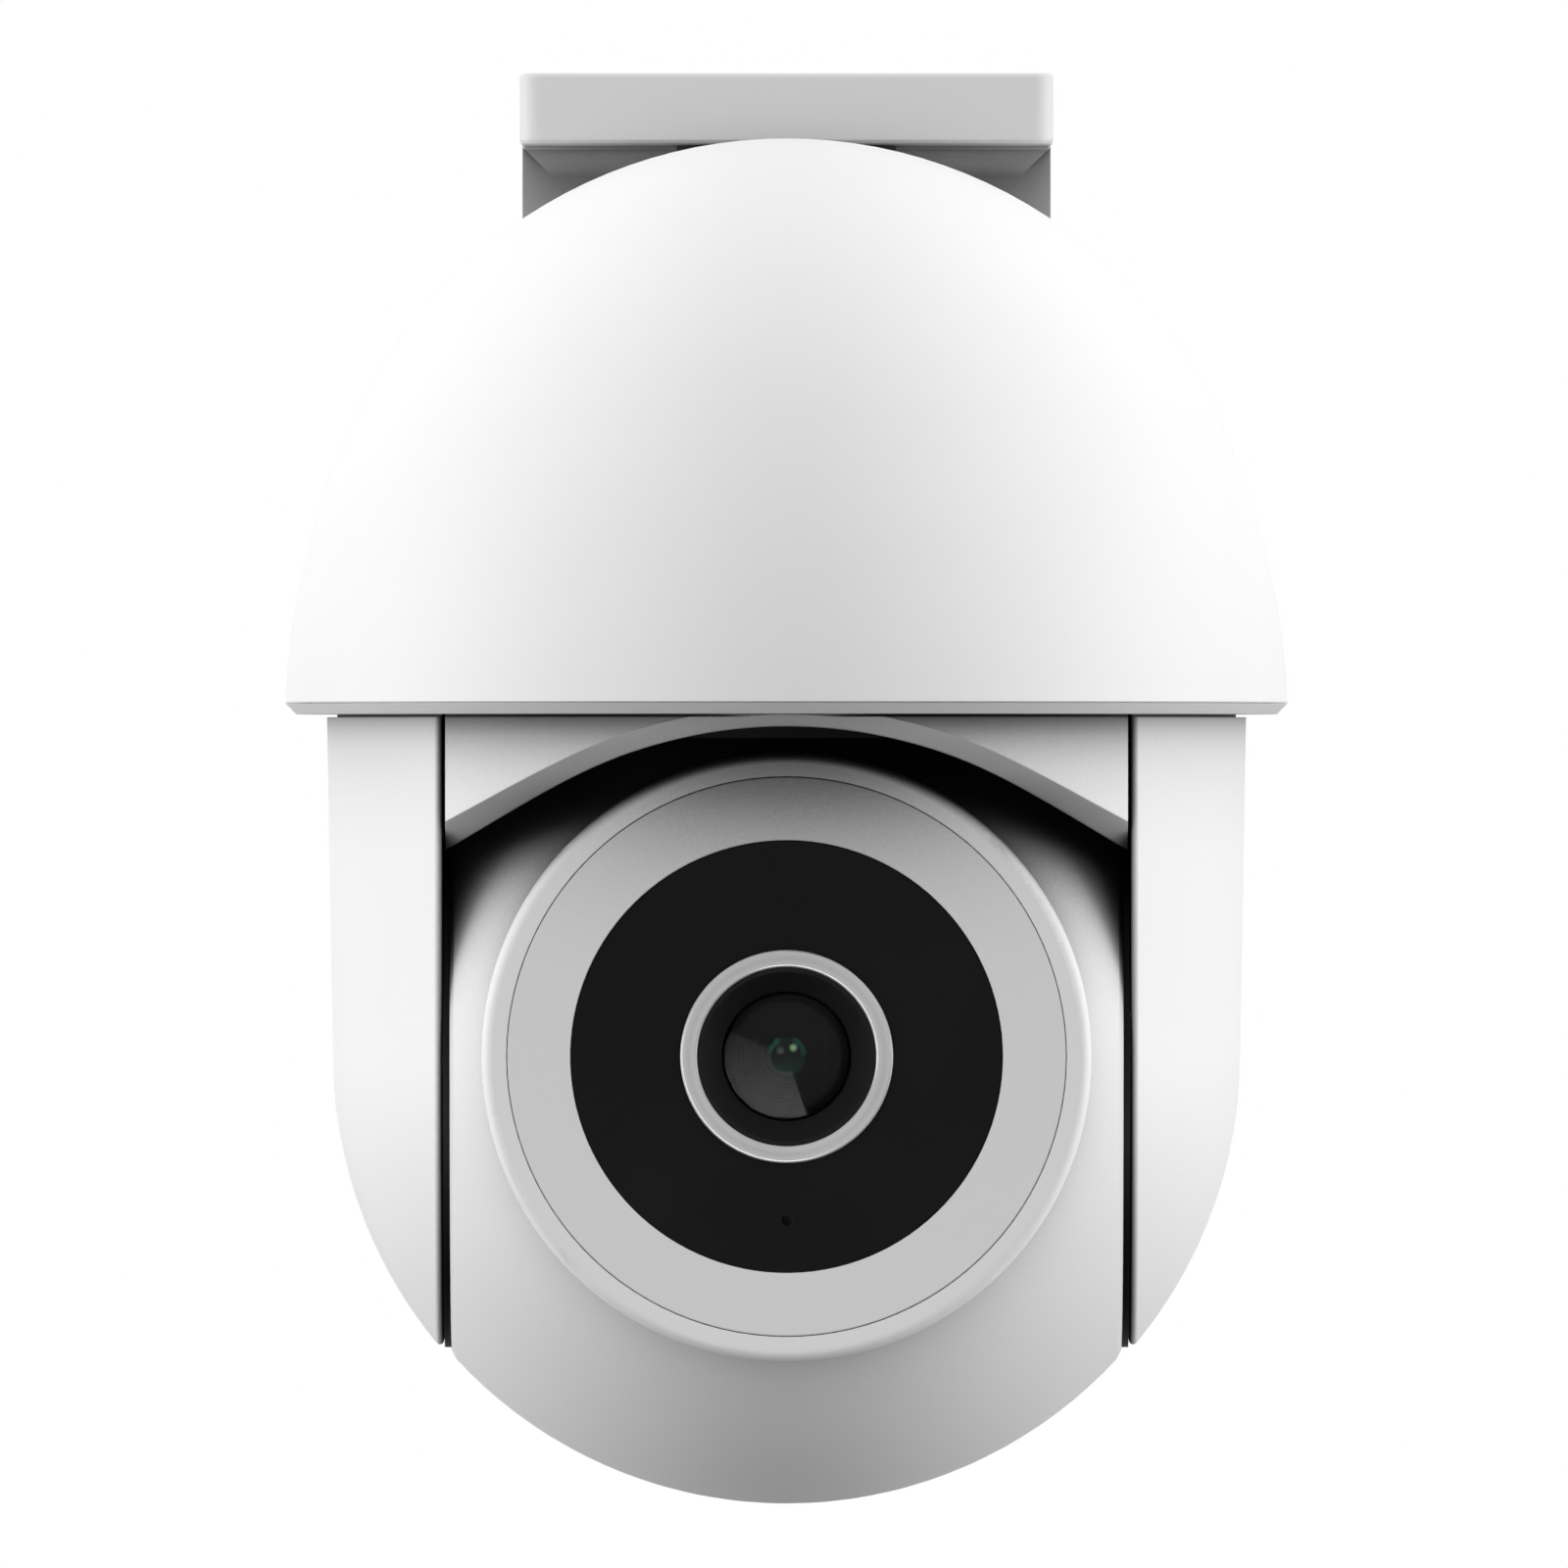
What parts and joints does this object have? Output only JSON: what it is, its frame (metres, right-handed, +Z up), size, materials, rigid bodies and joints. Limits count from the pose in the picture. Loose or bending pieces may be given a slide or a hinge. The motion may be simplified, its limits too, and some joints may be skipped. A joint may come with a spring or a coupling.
{
  "type": "security camera",
  "caption": "Wall-mounted pan and tilt dome camera: L bracket, domed housing, rotating yoke and a tilting ball with a round lens face.",
  "frame": {"origin": "centre of the wall plate's back face, on the wall", "axes": "+Y into the wall, so the camera looks along -Y; +Z up; +X to the right as seen from in front"},
  "size_m": [0.118, 0.134, 0.1686],
  "materials": {
    "white_shell": "fine satin white moulding",
    "white_bracket": "satin white moulding",
    "silver_ring": "finely turned, anodised",
    "black_window": "polished black window",
    "black_plastic": "fine matt black",
    "lens_glass": "coated optical glass",
    "frame_plastic": "glass-filled black moulding",
    "rubber": "matt black rubber",
    "acetal": "natural acetal",
    "steel": "plain steel",
    "motor_can": "zinc-plated can",
    "circuit_board": "green solder mask",
    "board_parts": "black moulded packages",
    "sd_card": "plain black card",
    "reset_grey": "grey plunger",
    "filter_blue": "blue-green filter in a black slide",
    "speaker_black": "black basket and cone"
  },
  "bodies": {
    "mount": {"bracket": "white_bracket", "channel_cover": "white_bracket", "cable_grommet": "rubber", "neck_gasket": "rubber", "neck_screws": "steel", "dome_shell": "white_shell", "dome_screws": "steel", "dome_base": "white_bracket", "dome_seal": "rubber", "pan_bush": "acetal", "thrust_washer": "acetal", "pan_motor": "motor_can", "base_screws": "steel", "main_board": "circuit_board", "main_board_parts": "board_parts"},
    "yoke": {"yoke_frame": "frame_plastic", "right_cheek": "white_shell", "left_cheek": "white_shell", "front_brow": "white_shell", "rear_panel": "white_shell", "yoke_cover_screws": "steel", "pan_shaft": "steel", "pan_gear": "acetal", "shaft_clip": "steel", "right_trunnion": "steel", "left_trunnion": "steel", "frame_screws": "steel", "tilt_gear": "acetal"},
    "pan_pinion": {"pan_pinion": "acetal"},
    "head": {"ball_front": "white_shell", "ball_rear": "white_shell", "ball_seal": "rubber", "ball_screws": "steel", "tilt_bushes": "black_plastic", "tilt_motor": "motor_can", "face_ring": "white_shell", "front_window": "black_window", "window_gasket": "rubber", "lens_ring": "silver_ring", "lens_cone": "black_plastic", "front_lens": "lens_glass", "inner_lens": "lens_glass", "lens_barrel": "black_plastic", "lens_holder": "black_plastic", "ir_cut_housing": "black_plastic", "sensor_board": "circuit_board", "led_board": "circuit_board", "light_baffle": "rubber", "microphone": "rubber", "control_board": "circuit_board", "speaker": "speaker_black", "service_cover": "white_shell", "service_seal": "rubber", "service_board": "circuit_board", "sd_socket": "steel", "sd_card": "sd_card", "head_screws": "steel"},
    "tilt_pinion": {"tilt_pinion": "acetal"},
    "ir_cut_filter": {"ir_cut_filter": "filter_blue"},
    "reset_button": {"reset_button": "reset_grey"}
  },
  "joints": [
    {"name": "pan", "type": "hinge", "parent": "mount", "child": "yoke", "pos_m": [0, -0.075, -0.0797], "axis": [0, 0, 1], "range_deg": [-177.5, 177.5]},
    {"name": "tilt", "type": "hinge", "parent": "yoke", "child": "head", "pos_m": [0, -0.075, -0.0797], "axis": [1, 0, 0], "range_deg": [0, 90]},
    {"name": "pan_pinion_spin", "type": "hinge", "parent": "mount", "child": "pan_pinion", "pos_m": [0.0272, -0.075, -0.0797], "axis": [0, 0, 1], "range_deg": [-840, 840]},
    {"name": "tilt_pinion_spin", "type": "hinge", "parent": "head", "child": "tilt_pinion", "pos_m": [0, -0.062, -0.0797], "axis": [1, 0, 0], "range_deg": [-5, 310]},
    {"name": "ir_filter_slide", "type": "slide", "parent": "head", "child": "ir_cut_filter", "axis": [1, 0, 0], "range_m": [0, 0.0056]},
    {"name": "reset_press", "type": "slide", "parent": "head", "child": "reset_button", "axis": [0, -0.6428, 0.766], "range_m": [0, 0.0005], "stiffness_N_per_m": 600, "springref_m": -0.0005}
  ],
  "couplings": [
    {"joint": "pan_pinion_spin", "follows": "pan", "ratio": -4.6667},
    {"joint": "tilt_pinion_spin", "follows": "tilt", "ratio": 3.3333}
  ]
}
